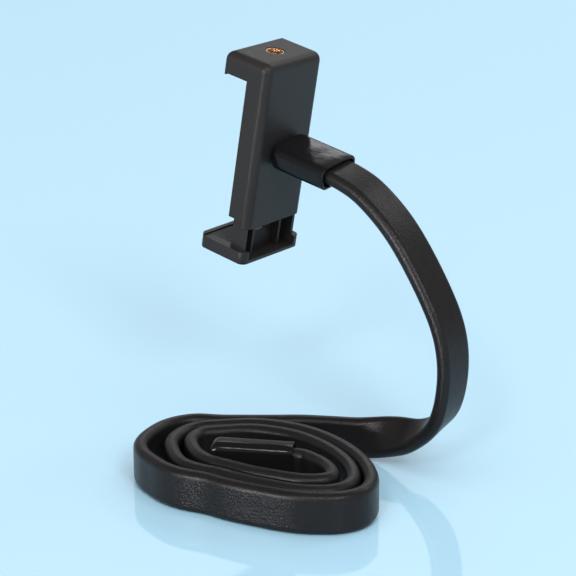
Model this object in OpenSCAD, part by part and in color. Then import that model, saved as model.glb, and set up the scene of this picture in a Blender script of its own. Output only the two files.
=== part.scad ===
// Bendable phone stand: one long flat strip, a soft black sheath round two soft metal wires.
// Its lower end is wound on edge into an oval coil that stands on the table. The rest twists
// flat, rises as a C-shaped arm and ends in a sleeve that carries a spring-loaded phone clamp.
// The origin is on the table under the middle of the coil, and +Z is up. The clamp opens
// towards -Y, and its width runs along X.

/* [Strip] */
// Width of the flat strip, which is the coil's height
strip_w = 17; // [14:0.5:20]
// Thickness of the flat strip
strip_t = 6; // [5:0.5:8]
// Rounding of the strip's long edges
strip_round = 2; // [1:0.25:2.4]
// Diameter of each core wire
wire_d = 2.4; // [1.6:0.2:3]
// Distance between the two core wires
wire_pitch = 8; // [6:0.5:10]

/* [Coil] */
// Half length of the oval on which the coil starts, along the middle of the strip
inner_half_l = 34; // [33:0.5:40]
// Half width of that oval
inner_half_w = 15.6; // [15:0.2:20]
// Gap between neighbouring turns where they nest
nest_gap = 0.35; // [0.3:0.05:2]
// How far the outer turn stands off where its gap is widest, at the front left
crescent = 7.5; // [0:0.5:9]
// How far the two inner turns ride up at the back
back_lift = 2.5; // [0:0.5:4]
// Direction of the coil's long axis
coil_angle = 88; // [80:1:100]

/* [Arm] */
// Height of the arm's top end above the table
arm_height = 117.5; // [105:2.5:150]
// How far the arm swings out behind its top end
arm_reach = 58; // [50:1:70]
// Clear distance from the coil's outer turn to the arm's plane
arm_clear = 23.8; // [20:0.2:32]
// How far the arm's top end lies in front of the coil's middle
arm_front = 9; // [0:1:20]
// Tilt of the arm's top end and of the clamp, in degrees
head_tilt = 10; // [0:1:20]
// Twist that is left in the strip where it enters the head sleeve, in degrees
roll_angle = 8; // [0:1:15]

/* [Sleeves] */
// Wall of the two end sleeves
sleeve_wall = 1.8; // [1.4:0.1:2.6]
// Length of the head sleeve
head_sleeve_l = 28.5; // [26:0.5:36]
// Length of the tail sleeve
tail_sleeve_l = 33; // [30:1:36]
// Rounding of the sleeves' long edges
sleeve_round = 3.2; // [2:0.2:4]

/* [Clamp] */
// Opening between the jaws, as the photo shows it round a phone
mouth_h = 71.6; // [64:0.4:80]
// Width of the clamp
clamp_w = 35; // [32:0.5:38]
// Depth of the clamp behind the phone
clamp_d = 10.8; // [10.6:0.1:13]
// Reach of the jaws in front of the phone's back
jaw_reach = 12.6; // [11:0.2:17]
// Height of the top jaw
top_jaw_h = 9.5; // [8:0.1:11]
// Thickness of the lower jaw's plate
low_jaw_h = 5.2; // [4.6:0.2:7]
// How far the lower jaw's plate stands out beyond the clamp's sides and back
plate_over = 0.7; // [0:0.1:1.5]
// How far the clamp's body reaches below the middle of its mouth
body_drop = 26; // [22:1:28]
// Wall of the clamp's body
clamp_wall = 1.5; // [1.5:0.1:2]
// Height of the swivel's axis above the middle of the mouth
swivel_h = 6.5; // [4:0.5:9]
// How far the lower jaw moves up from the photo's place
jaw_close = 9.3; // [6:0.1:9.4]
// How far the lower jaw moves down from the photo's place
jaw_open = 13; // [8:1:15]

/* [Fittings] */
// Diameter of the swivel stud
stud_d = 6.2; // [5:0.1:6.4]
// Bore of the threaded insert in the clamp's top
tripod_bore_d = 5.2; // [4.8:0.1:5.6]
// Outer diameter of the two threaded inserts
insert_d = 8; // [7.6:0.2:9]
// Diameter of the spring's wire
spring_wire_d = 0.7; // [0.5:0.1:0.8]
// Outer diameter of the spring
spring_d = 4.4; // [4:0.1:4.6]
// Thickness of the rubber pads
pad_t = 1.5; // [1:0.1:1.6]

/* [Hidden] */
$fn = 48;

sheath_colour = [0.09, 0.09, 0.1];
plastic_colour = [0.12, 0.12, 0.13];
gloss_colour = [0.07, 0.07, 0.08];
rubber_colour = [0.16, 0.16, 0.17];
brass_colour = [0.72, 0.48, 0.28];
steel_colour = [0.7, 0.71, 0.72];

// Overrun of every cut
cut = 0.5;
// Clearances: a wire in its channel, the strip in a sleeve, pieces that slide or turn
channel_clear = 0.25;
pocket_clear = 0.15;
slide_clear = 0.15;
turn_clear = 0.05;
seat_clear = 0.02;

// The strip's route. The coil winds outwards from an oval by one strip and one gap a turn.
turn_step = strip_t + nest_gap;
// Turns from the first right-hand end to the place where the arm leaves
coil_turns = 2.58;
turn_steps = 30;
long_dir = [cos(coil_angle), sin(coil_angle)];
short_dir = [sin(coil_angle), -cos(coil_angle)];
edge_z = strip_w / 2;
sleeve_h = strip_w + 2 * (pocket_clear + sleeve_wall);
sleeve_t = strip_t + 2 * (pocket_clear + sleeve_wall);
// A strip that stands in the tail sleeve is lifted by the sleeve's wall
tail_z = sleeve_h / 2;

// Shares of the crescent by which each twelfth of a turn stands off from its neat place,
// from the right-hand end over the front to the left-hand end and back, one row a turn
off_shares = [
    0, -0.15, -0.3, -0.15, 0.27, 0.07, 0, -0.45, -0.2, 0, 0, 0,
    0.1, -0.15, -0.3, -0.15, 0.6, 0.3, 0, -0.45, -0.2, 0, 0, 0,
    0.3, -0.15, -0.3, -0.1, 0.8, 1.1, 0.5, -0.45, 0];
off_steps = 12;
function eased(f) = f * f * (3 - 2 * f);
function stand_off(t) = let(i = floor(t * off_steps), f = eased(t * off_steps - i))
    crescent * (off_shares[i] * (1 - f) + off_shares[min(i + 1, len(off_shares) - 1)] * f);
function oval(t) = inner_half_l * cos(360 * t) * long_dir + inner_half_w * sin(360 * t) * short_dir;
function oval_out(t) = unit(cos(360 * t) / inner_half_l * long_dir
    + sin(360 * t) / inner_half_w * short_dir);
function spiral_xy(t) = oval(t) + (turn_step * t + stand_off(t)) * oval_out(t);
// The tail's lift fades over the first half turn, and the turns ride up at the back
function spiral_lift(t) = max(0, 1 - 2 * t) * (tail_z - edge_z)
    + (t < 2 ? back_lift * pow(max(0, -sin(360 * t)), 1.5) : 0);
// A route point holds x, y, z and the lean of the strip's width: 90 on edge, 0 flat
function spiral_point(t) = let(p = spiral_xy(t))
    [p[0], p[1], edge_z + spiral_lift(t), 90];

// The tail sleeve lies inside the coil, turned a little from its long axis
tail_angle = 120;
tail_dir = [cos(tail_angle), sin(tail_angle), 0, 0];
tail_mid_shares = [0.12, -0.175];
tail_mid = [tail_mid_shares[0] * inner_half_w, tail_mid_shares[1] * inner_half_l, tail_z, 90];
tail_mouth = tail_mid + tail_dir * tail_sleeve_l / 2;
// How much of a sleeve's length the strip reaches into
pocket_share = 0.8;
tail_pocket = tail_sleeve_l * pocket_share;
// Where the strip's points stand along its straight stretch, from its end to past the mouth
straight_shares = [1, 0.7, 0.4, 0.1, -0.2];
// From the tail sleeve's mouth to the first turn's right-hand end
tail_bend_shares = [[-0.5, 0.42], [-0.47, 0.6], [-0.28, 0.82]];
tail_route = concat(
    [for (s = straight_shares) tail_mouth - tail_dir * tail_pocket * s],
    [for (s = tail_bend_shares)
        [s[0] * inner_half_w, s[1] * inner_half_l, tail_z, 90]]);

spiral_count = round(coil_turns * turn_steps);
spiral_route = [for (i = [0:spiral_count]) spiral_point(i / turn_steps)];

// The arm lies in the plane x = arm_x, with its top end in front of the coil's middle
arm_x = -(inner_half_w + turn_step * coil_turns + arm_clear);
arm_top = [arm_x, -arm_front, arm_height];
head_dir = [0, -cos(head_tilt), sin(head_tilt)];
// From the coil to the head sleeve: shares of the plane's distance, of the reach and of the
// height, and the lean of the strip's width in degrees
rise_shares = [
    [0.46, -0.36, 0, 90],
    [0.575, -0.225, 0, 90],
    [0.695, -0.09, 0, 90],
    [0.818, 0.095, 0, 90],
    [0.92, 0.3, 0.004, 82],
    [0.98, 0.515, 0.03, 54],
    [1, 0.72, 0.062, 26],
    [1, 0.925, 0.16, 14],
    [1, 1, 0.325, 10],
    [1, 0.965, 0.49, 8],
    [1, 0.81, 0.65, 8],
    [1, 0.55, 0.832, 8],
    [1, 0.28, 0.948, 8]];
rise_route = [for (s = rise_shares)
    [arm_x * s[0], arm_top[1] + arm_reach * s[1],
        edge_z + (arm_height - edge_z) * s[2], s[3]]];
head_pocket = head_sleeve_l * pocket_share;
// Along the head sleeve's axis, from just outside its mouth to the strip's end
head_shares = [-0.18, 0.16, 0.5, 1];
head_route = [for (s = head_shares) let(p = arm_top + head_dir * head_pocket * s)
    [p[0], p[1], p[2], roll_angle]];

route = concat(tail_route, spiral_route, rise_route, head_route);
last = len(route) - 1;
// Numbers of the route points between which each stretch of the strip lies
rise_start = len(tail_route) + len(spiral_route);
flex_starts = [rise_start + 7, rise_start + 9, rise_start + 11];
flex_ends = [rise_start + 8, rise_start + 10, rise_start + 12];

function route_point(i) = i < 0 ? 2 * route[0] - route[1]
    : i > last ? 2 * route[last] - route[last - 1] : route[i];
// A smooth curve through the route points, and its direction
function curve(u) = let(
    i = min(floor(u), last - 1), f = u - i,
    a = route_point(i - 1), b = route_point(i), c = route_point(i + 1), d = route_point(i + 2))
    b + ((c - a) * f + (2 * a - 5 * b + 4 * c - d) * f * f
        + (3 * b - a - 3 * c + d) * f * f * f) / 2;
function curve_slope(u) = let(
    i = min(floor(u), last - 1), f = u - i,
    a = route_point(i - 1), b = route_point(i), c = route_point(i + 1), d = route_point(i + 2))
    (c - a) / 2 + (2 * a - 5 * b + 4 * c - d) * f + (3 * b - a - 3 * c + d) * f * f * 3 / 2;
function unit(v) = v / norm(v);
function xyz(p) = [p[0], p[1], p[2]];
// Place, width direction, thickness direction and heading of the strip at u
function strip_frame(u) = let(
    p = curve(u), t = unit(xyz(curve_slope(u))), l = [-cos(p[3]), 0, sin(p[3])],
    w = unit(l - (l * t) * t))
    [xyz(p), w, cross(t, w), t];

// Sections are cut once per step of the spiral and more often where points lie far apart
function section_count(i) = i < len(tail_route) - 1 ? 2 : i < rise_start - 1 ? 1
    : i < last - 1 ? 4 : 3;
function stations(a, b) = concat(
    [for (i = [a:b - 1]) each [for (j = [0:section_count(i) - 1]) i + j / section_count(i)]],
    [b]);

// The strip's section: a rounded bar with two six-sided channels.

flat_a = strip_w / 2 - strip_round;
flat_b = strip_t / 2 - strip_round;
function edge_arc(x, y, from) = [for (k = [0, 45, 90])
    [x + strip_round * cos(from + k), y + strip_round * sin(from + k)]];
outline_points = concat(edge_arc(flat_a, flat_b, 0), edge_arc(-flat_a, flat_b, 90),
    edge_arc(-flat_a, -flat_b, 180), edge_arc(flat_a, -flat_b, 270));
ring_steps = 6;
function wire_ring(x, r) = [for (k = [0:ring_steps - 1]) let(a = 360 * (k + 0.5) / ring_steps)
    [x + r * cos(a), r * sin(a)]];
channel_r = wire_d / 2 + channel_clear;
section_points = concat(outline_points,
    wire_ring(wire_pitch / 2, channel_r), wire_ring(-wire_pitch / 2, channel_r));
outer_n = len(outline_points);
section_n = len(section_points);
// The end faces are split into convex pieces round the channels, so that none has a hole.
// Corners count from 0 round the outside, from a round one channel and from b round the other
function end_pieces(a, b) = [
    [0, 1, 2, a + 1, a], [2, 3, b + 1, a + 1], [a + 1, b + 1, b, a + 2],
    [3, 4, 5, b + 2, b + 1], [5, 6, b + 3, b + 2], [6, 7, 8, b + 4, b + 3],
    [8, 9, a + 4, b + 4], [b + 4, a + 4, a + 3, b + 5], [9, 10, 11, a + 5, a + 4],
    [11, 0, a, a + 5], [a + 2, b, b + 5, a + 3]];

function placed(u, shape) = let(f = strip_frame(u))
    [for (q = shape) f[0] + q[0] * f[1] + q[1] * f[2]];
// Side faces between sections of n points that hold a loop of m points from start on
function loop_faces(count, n, start, m, inward) = [for (i = [0:count - 2], j = [0:m - 1])
    let(a = i * n + start + j, b = i * n + start + (j + 1) % m)
    each inward ? [[a, b, b + n], [a, b + n, a + n]] : [[a, b + n, b], [a, a + n, b + n]]];
function reversed(v) = [for (i = [len(v) - 1:-1:0]) v[i]];

module sheath(a, b) {
    us = stations(a, b);
    n = len(us);
    end = (n - 1) * section_n;
    first_face = end_pieces(outer_n, outer_n + ring_steps);
    color(sheath_colour)
    polyhedron(
        points = [for (u = us) each placed(u, section_points)],
        faces = concat(
            first_face,
            [for (piece = first_face) reversed([for (k = piece) k + end])],
            loop_faces(n, section_n, 0, outer_n, false),
            loop_faces(n, section_n, outer_n, ring_steps, true),
            loop_faces(n, section_n, outer_n + ring_steps, ring_steps, true)));
}

module wire_pair(a, b) {
    us = stations(a, b);
    n = len(us);
    start_face = [for (k = [0:ring_steps - 1]) k];
    color(steel_colour)
    for (side = [-1, 1])
        polyhedron(
            points = [for (u = us) each placed(u, wire_ring(side * wire_pitch / 2, wire_d / 2))],
            faces = concat([start_face],
                [reversed([for (k = start_face) k + (n - 1) * ring_steps])],
                loop_faces(n, ring_steps, 0, ring_steps, false)));
}

module strip_coil() sheath(0, flex_starts[0]);
module wires_coil() wire_pair(0, flex_starts[0]);
module flex_1() sheath(flex_starts[0], flex_ends[0]);
module flex_wires_1() wire_pair(flex_starts[0], flex_ends[0]);
module strip_1() sheath(flex_ends[0], flex_starts[1]);
module wires_1() wire_pair(flex_ends[0], flex_starts[1]);
module flex_2() sheath(flex_starts[1], flex_ends[1]);
module flex_wires_2() wire_pair(flex_starts[1], flex_ends[1]);
module strip_2() sheath(flex_ends[1], flex_starts[2]);
module wires_2() wire_pair(flex_ends[1], flex_starts[2]);
module flex_3() sheath(flex_starts[2], flex_ends[2]);
module flex_wires_3() wire_pair(flex_starts[2], flex_ends[2]);
module strip_3() sheath(flex_ends[2], last);
module wires_3() wire_pair(flex_ends[2], last);

// A rectangle with round corners, in the middle of its frame
module round_rect(w, h, r) {
    square([w, h - 2 * r], center = true);
    square([w - 2 * r, h], center = true);
    for (x = [-1, 1], y = [-1, 1])
        translate([x * (w / 2 - r), y * (h / 2 - r)]) circle(r);
}

// A rectangle from y0 to y1 whose corners are round at y1 with r1 and at y0 with r0
module end_rect(w, y0, y1, r0, r1) {
    translate([-w / 2, y0 + r0]) square([w, y1 - r1 - y0 - r0]);
    translate([-w / 2 + r0, y0]) square([w - 2 * r0, r0 * 2]);
    translate([-w / 2 + r1, y1 - 2 * r1]) square([w - 2 * r1, r1 * 2]);
    for (x = [-1, 1]) {
        translate([x * (w / 2 - r0), y0 + r0]) circle(r0);
        translate([x * (w / 2 - r1), y1 - r1]) circle(r1);
    }
}

// A block between two corners
module block(low, high) translate(low) cube(high - low);

// A round rod along Y between two depths
module rod_y(x, z, y0, y1, r) translate([x, y1, z]) rotate([90, 0, 0]) cylinder(h = y1 - y0, r = r);

// The two end sleeves.
pocket_w = strip_w + 2 * pocket_clear;
pocket_t = strip_t + 2 * pocket_clear;
pocket_r = strip_round + pocket_clear;
// The mouth is wider than the pocket, which leaves a thin rim round the strip
rim_depth = 3.6;
rim_gap = 0.75;
// The closed end is rounded, more across its width than across its thickness
end_round = 3.5;
end_round_t = 1.5;

// A sleeve with its mouth at z = 0 and its closed end at z = l, its width along X
module end_sleeve(l, pocket) {
    difference() {
        intersection() {
            linear_extrude(l) round_rect(sleeve_h, sleeve_t, sleeve_round);
            rotate([90, 0, 0])
                linear_extrude(sleeve_h, center = true)
                    end_rect(sleeve_h, 0, l, cut, end_round);
            rotate([90, 0, 90])
                linear_extrude(sleeve_h + cut, center = true)
                    end_rect(sleeve_t, 0, l, cut, end_round_t);
        }
        translate([0, 0, -cut])
            linear_extrude(pocket + pocket_clear + cut)
                round_rect(pocket_w, pocket_t, pocket_r);
        translate([0, 0, -cut])
            linear_extrude(rim_depth + cut)
                round_rect(pocket_w + 2 * rim_gap, pocket_t + 2 * rim_gap, pocket_r + rim_gap);
    }
}

// Puts a sleeve's own frame on the strip's frame at u, with its mouth at a given place
module on_strip(u, place) {
    f = strip_frame(u);
    multmatrix([
        [f[1][0], f[2][0], f[3][0], place[0]],
        [f[1][1], f[2][1], f[3][1], place[1]],
        [f[1][2], f[2][2], f[3][2], place[2]],
        [0, 0, 0, 1]])
        children();
}

module tail_sleeve() {
    color(gloss_colour)
    on_strip(0, xyz(tail_mouth)) rotate([180, 0, 0]) end_sleeve(tail_sleeve_l, tail_pocket);
}

// The head sleeve's closed end stays just clear of the clamp's back
swivel_gap = 0.3;
head_end = head_sleeve_l - swivel_gap;
stud_flange = 1.1;
stud_head_d = stud_d + 2 * stud_flange;
stud_head_h = 2.2;
// The stud's flange is moulded into the sleeve's end, behind the pocket
stud_head_z = head_pocket + 2 * pocket_clear + cut;

module head_sleeve() {
    color(gloss_colour)
    on_strip(last, arm_top)
        difference() {
            end_sleeve(head_end, head_pocket);
            translate([0, 0, stud_head_z - seat_clear])
                cylinder(h = stud_head_h + 2 * seat_clear, d = stud_head_d + 2 * seat_clear);
            translate([0, 0, stud_head_z])
                cylinder(h = head_sleeve_l - stud_head_z, d = stud_d + 2 * seat_clear);
        }
}

module head_stud() {
    color(steel_colour)
    on_strip(last, arm_top) {
        translate([0, 0, stud_head_z]) cylinder(h = stud_head_h, d = stud_head_d);
        translate([0, 0, stud_head_z])
            cylinder(h = head_sleeve_l + stud_reach - stud_head_z, d = stud_d);
    }
}

// The clamp, drawn upright: y = 0 at the phone's back, z = 0 in the middle of its mouth.
half_mouth = mouth_h / 2;
half_clamp = clamp_w / 2;
// The rest pad stands proud of the body by half its thickness
rest_pad_t = 1;
body_front = rest_pad_t / 2;
cavity_front = body_front + clamp_wall;
cavity_back = clamp_d - clamp_wall;
cavity_half = half_clamp - clamp_wall;
body_top = half_mouth + top_jaw_h;
back_round = 3;
top_round = 2.5;
jaw_round = 3;
// Rounding of the top jaw's front edge, seen from the side
tip_round = 4.2;
tip_y = -jaw_reach + tip_round;
tip_z = body_top - tip_round;
lip_t = 1.9;
lip_drop = 0.7;
// The lip's foot is a little thinner than the lip
foot_step = 0.5;
foot_h = 2.4;
// How much higher the body's sides end than its back
side_rise = 3;

// The spring hangs in the middle of the cavity, in front of the swivel's insert
spring_room = 0.35;
spring_y = cavity_front + spring_room + spring_d / 2;
insert_front = spring_y + spring_d / 2 + spring_room;
insert_l = clamp_d - insert_front;
stud_reach = insert_l - 2 * slide_clear;
boss_wall = 1.6;
boss_d = insert_d + 2 * boss_wall;

// The stem slides in the cavity
stem_half = cavity_half - slide_clear;
stem_front = cavity_front + slide_clear;
stem_back = cavity_back - slide_clear;
stem_hold = 36;
stem_top = stem_hold - body_drop;
web_t = 1.5;
rail_t = 1.4;
slot_room = 1.3;
slot_half = spring_d / 2 + slot_room;
// Two ribs stand on the web beside the slot, a little lower than the rails
rib_w = 1.2;
rib_out = 8.4;
rib_in = 1.6;
rib_back = stem_back - rib_in;
stop_gap = 1;
cavity_top = stem_top + jaw_close + stop_gap;
chamber_h = 9;
spring_top = cavity_top + chamber_h;
pin_d = 2;
pin_seat = 3;
pin_l = 2 * (slot_half + pin_seat);
plate_top = -half_mouth - lip_drop / 4;
plate_bottom = plate_top - low_jaw_h;
peg_d = 2.4;
peg_rise = 14.5;
peg_z = plate_top + peg_rise;
slot_rise = 4;
slot_bottom = plate_top + slot_rise;

module head() {
    translate(arm_top)
        rotate([-head_tilt, 0, 0])
            translate([0, -(head_sleeve_l + clamp_d), -swivel_h])
                children();
}

// The body's side outline: a column with the top jaw and its lip
module body_side() {
    translate([body_front, -body_drop]) square([clamp_d - body_front, body_top - top_round + body_drop]);
    translate([-jaw_reach + foot_step, half_mouth - lip_drop])
        square([lip_t - foot_step, foot_h + lip_drop]);
    translate([-jaw_reach, half_mouth - lip_drop + foot_h])
        square([jaw_reach + clamp_d - top_round, top_jaw_h + lip_drop - foot_h]);
    translate([-jaw_reach + foot_step, half_mouth]) square([jaw_reach, foot_h]);
    translate([clamp_d - top_round, body_top - top_round]) circle(top_round);
}

// What comes off the top jaw's front edge: it leaves a roller with the body's rounding at its ends
module tip_cut() {
    difference() {
        block([-clamp_w, -jaw_reach - cut, tip_z], [clamp_w, tip_y, body_top + cut]);
        translate([0, tip_y, tip_z])
            rotate([0, 90, 0])
                rotate_extrude()
                    intersection() {
                        end_rect(2 * tip_round, -half_clamp, half_clamp, top_round, top_round);
                        translate([0, -half_clamp]) square([tip_round, clamp_w]);
                    }
    }
}

module clamp_outline() {
    difference() {
        intersection() {
            rotate([90, 0, 90]) linear_extrude(clamp_w, center = true) body_side();
            translate([0, 0, -body_drop])
                linear_extrude(body_top + body_drop)
                    end_rect(clamp_w, -jaw_reach, clamp_d, top_round, back_round);
            rotate([90, 0, 0])
                linear_extrude(3 * (jaw_reach + clamp_d), center = true)
                    end_rect(clamp_w, -body_drop, body_top, cut, top_round);
        }
        tip_cut();
    }
}

module clamp_body() {
    color(plastic_colour)
    head()
        difference() {
            clamp_outline();
            difference() {
                block([-cavity_half, cavity_front, -body_drop - cut],
                    [cavity_half, cavity_back, cavity_top]);
                rod_y(0, swivel_h, insert_front, clamp_d, boss_d / 2);
            }
            // The sides end higher than the back
            block([-clamp_w, -jaw_reach, -body_drop - cut],
                [clamp_w, clamp_d - back_round, -body_drop + side_rise]);
            // The spring's chamber, and the pin's seat in its walls
            block([-slot_half, cavity_front, cavity_top - cut],
                [slot_half, insert_front, spring_top]);
            translate([0, spring_y, pin_z]) rotate([0, 90, 0])
                cylinder(h = pin_l + 2 * seat_clear, d = pin_d + 2 * seat_clear, center = true);
            rod_y(0, swivel_h, insert_front - cut, clamp_d + cut, insert_d / 2 + seat_clear);
            translate([0, insert_y, body_top - insert_h])
                cylinder(h = insert_h + cut, d = insert_d + 2 * seat_clear);
            pad_block(top_pad_low, top_pad_high, seat_clear);
            pad_block(rest_pad_low, rest_pad_high, seat_clear);
        }
}

pin_drop = 4;
pin_z = spring_top - pin_drop;
// The tripod insert sits in the middle of the top face
insert_y = (clamp_d - jaw_reach) / 2;
insert_floor = 0.8;
insert_h = top_jaw_h - pad_t - insert_floor;
// Both inserts end a little below the faces they sit in
insert_sunk = 0.2;

// Corners of the three pads; each sits in a recess of its own shape
pad_gap = 0.4;
pad_back = -0.6;
pad_inset = 3.5;
pad_front = -jaw_reach + lip_t + pad_gap;
top_pad_low = [-half_clamp + pad_inset, pad_front, half_mouth];
top_pad_high = [half_clamp - pad_inset, pad_back, half_mouth + pad_t];
rest_pad_low = [-half_clamp + pad_inset, 0, -body_drop + pad_inset];
rest_pad_high = [half_clamp - pad_inset, rest_pad_t, half_mouth - 2 * pad_inset];
low_pad_low = [-half_clamp + pad_inset, pad_front, -half_mouth - pad_t];
low_pad_high = [half_clamp - pad_inset, pad_back, -half_mouth];

module pad_block(low, high, grow) {
    block(low - grow * [1, 1, 1], high + grow * [1, 1, 1]);
}

module top_jaw_pad() color(rubber_colour) head() pad_block(top_pad_low, top_pad_high, 0);
module rest_pad() color(rubber_colour) head() pad_block(rest_pad_low, rest_pad_high, 0);
module lower_jaw_pad() color(rubber_colour) head() pad_block(low_pad_low, low_pad_high, 0);

module top_insert() {
    color(brass_colour)
    head()
        translate([0, insert_y, body_top - insert_h + seat_clear])
            difference() {
                cylinder(h = insert_h - insert_sunk, d = insert_d);
                translate([0, 0, -cut]) cylinder(h = insert_h + cut, d = tripod_bore_d);
            }
}

module back_insert() {
    color(brass_colour)
    head()
        difference() {
            rod_y(0, swivel_h, insert_front, clamp_d - insert_sunk, insert_d / 2);
            rod_y(0, swivel_h, insert_front - cut, clamp_d + cut, stud_d / 2 + turn_clear);
        }
}

module spring_pin() {
    color(steel_colour)
    head()
        translate([0, spring_y, pin_z])
            rotate([0, 90, 0])
                cylinder(h = pin_l, d = pin_d, center = true);
}

// The lower jaw: a plate with a lip, and a stem of two rails joined by a slotted web
module lower_jaw() {
    color(plastic_colour)
    head() {
        difference() {
            intersection() {
                translate([0, 0, plate_bottom])
                    linear_extrude(low_jaw_h + lip_drop)
                        end_rect(plate_w, -jaw_reach, plate_back, jaw_round, back_round);
                rotate([90, 0, 90]) linear_extrude(plate_w, center = true) jaw_side();
            }
            pad_block(low_pad_low, low_pad_high, seat_clear);
            // The plate's underside is hollow between its ribs
            for (x = [-1, 1] * (half_clamp - rib_w) / 2)
                block([x - hollow_half, -jaw_reach + lip_t, plate_bottom - cut],
                    [x + hollow_half, cavity_front, plate_bottom + hollow_h]);
            // The stem's channel runs on down into the plate
            block([-stem_half + rail_t, stem_front + web_t, plate_bottom + channel_floor],
                [stem_half - rail_t, plate_back + cut, plate_top + cut]);
        }
        stem();
    }
}

hollow_half = half_clamp / 2 - rib_w - lip_t / 2;
plate_floor = 1.6;
channel_floor = 1.4;
hollow_h = low_jaw_h - pad_t - plate_floor;

plate_w = clamp_w + 2 * plate_over;
plate_back = clamp_d + plate_over;

module jaw_side() {
    translate([-jaw_reach, plate_bottom + top_round])
        square([jaw_reach + plate_back, low_jaw_h - top_round]);
    translate([-jaw_reach + top_round, plate_bottom])
        square([jaw_reach + plate_back - top_round, low_jaw_h]);
    translate([-jaw_reach + top_round, plate_bottom + top_round]) circle(top_round);
    translate([-jaw_reach, plate_top - cut]) square([lip_t, lip_drop + cut]);
}

module stem() {
    foot = plate_bottom + channel_floor - cut;
    difference() {
        union() {
            block([-stem_half, stem_front, foot], [stem_half, stem_front + web_t, stem_top]);
            for (x = [-1, 1]) {
                block([x > 0 ? stem_half - rail_t : -stem_half, stem_front, foot],
                    [x > 0 ? stem_half : -stem_half + rail_t, stem_back, stem_top]);
                block([x * rib_out - rib_w / 2, stem_front, foot],
                    [x * rib_out + rib_w / 2, rib_back, stem_top]);
            }
        }
        block([-slot_half, stem_front - cut, slot_bottom], [slot_half, stem_back + cut, stem_top + cut]);
    }
    // The spring's bar across the slot, between two cheeks
    translate([0, spring_y, peg_z]) rotate([0, 90, 0])
        cylinder(h = 2 * slot_half + rib_w, d = peg_d, center = true);
    for (x = [-1, 1] * (slot_half + rib_w / 2))
        block([x - rib_w / 2, stem_front, peg_z - peg_d], [x + rib_w / 2, cheek_back, peg_z + peg_d]);
}
cheek_back = spring_y + peg_d / 2 + spring_room;

// The spring is one bent wire: a hook round the pin, its turns, and a hook round the bar
spring_turns = 20;
spring_steps = 8;
spring_mean = (spring_d - spring_wire_d) / 2;
hook_r = pin_d / 2 + slide_clear + spring_wire_d / 2;
peg_hook_r = peg_d / 2 + slide_clear + spring_wire_d / 2;
spring_high = pin_z - 2 * hook_r - spring_wire_d;
spring_low = peg_z + 2 * peg_hook_r + spring_wire_d;
spring_path = concat(
    [for (a = [-60:40:180]) [0, spring_y + hook_r * cos(a + 90), pin_z + hook_r * sin(a + 90)]],
    [for (i = [0:spring_turns * spring_steps])
        let(a = 360 * i / spring_steps, s = i / (spring_turns * spring_steps))
        [spring_mean * sin(a), spring_y + spring_mean * cos(a),
            spring_high + (spring_low - spring_high) * s]],
    [for (a = [180:-40:-60])
        [0, spring_y + peg_hook_r * cos(a + 90), peg_z - peg_hook_r * sin(a + 90)]]);
spring_ring_steps = 5;
function path_dir(p, i) = unit(p[min(i + 1, len(p) - 1)] - p[max(i - 1, 0)]);
function wire_side(p, i) = let(t = path_dir(p, i), v = abs(t[0]) > 0.9 ? [0, 1, 0] : [1, 0, 0])
    unit(v - (v * t) * t);

module jaw_spring() {
    n = len(spring_path);
    first = [for (k = [0:spring_ring_steps - 1]) k];
    color(steel_colour)
    head()
        polyhedron(
            points = [for (i = [0:n - 1]) let(t = path_dir(spring_path, i),
                v = wire_side(spring_path, i), w = cross(t, v))
                each [for (k = first) spring_path[i] + spring_wire_d / 2
                    * (cos(360 * k / spring_ring_steps) * v + sin(360 * k / spring_ring_steps) * w)]],
            faces = concat([first], [reversed([for (k = first) k + (n - 1) * spring_ring_steps])],
                loop_faces(n, spring_ring_steps, 0, spring_ring_steps, false)));
}

clamp_body();
top_insert();
back_insert();
top_jaw_pad();
rest_pad();
lower_jaw_pad();
lower_jaw();
jaw_spring();
spring_pin();
head_stud();
head_sleeve();
tail_sleeve();
strip_coil();
wires_coil();
flex_1();
flex_wires_1();
strip_1();
wires_1();
flex_2();
flex_wires_2();
strip_2();
wires_2();
flex_3();
flex_wires_3();
strip_3();
wires_3();
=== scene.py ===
import bmesh
import bpy
import numpy as np
from mathutils import Matrix, Vector
from mathutils.geometry import tessellate_polygon


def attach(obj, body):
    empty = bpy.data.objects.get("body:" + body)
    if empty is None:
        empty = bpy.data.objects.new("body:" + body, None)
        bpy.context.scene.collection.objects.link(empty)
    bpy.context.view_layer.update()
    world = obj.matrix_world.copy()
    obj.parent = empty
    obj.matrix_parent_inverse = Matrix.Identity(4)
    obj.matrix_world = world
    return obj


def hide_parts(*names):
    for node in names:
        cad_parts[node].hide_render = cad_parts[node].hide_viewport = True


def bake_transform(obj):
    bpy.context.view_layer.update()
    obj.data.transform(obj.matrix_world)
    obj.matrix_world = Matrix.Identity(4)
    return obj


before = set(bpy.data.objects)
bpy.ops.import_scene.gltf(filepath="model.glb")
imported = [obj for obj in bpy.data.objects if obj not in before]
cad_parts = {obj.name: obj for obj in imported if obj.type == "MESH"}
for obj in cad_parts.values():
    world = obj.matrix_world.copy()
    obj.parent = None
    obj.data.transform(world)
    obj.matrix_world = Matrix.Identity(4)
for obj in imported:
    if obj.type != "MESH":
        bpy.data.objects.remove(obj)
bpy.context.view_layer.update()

MM = 0.001

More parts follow.
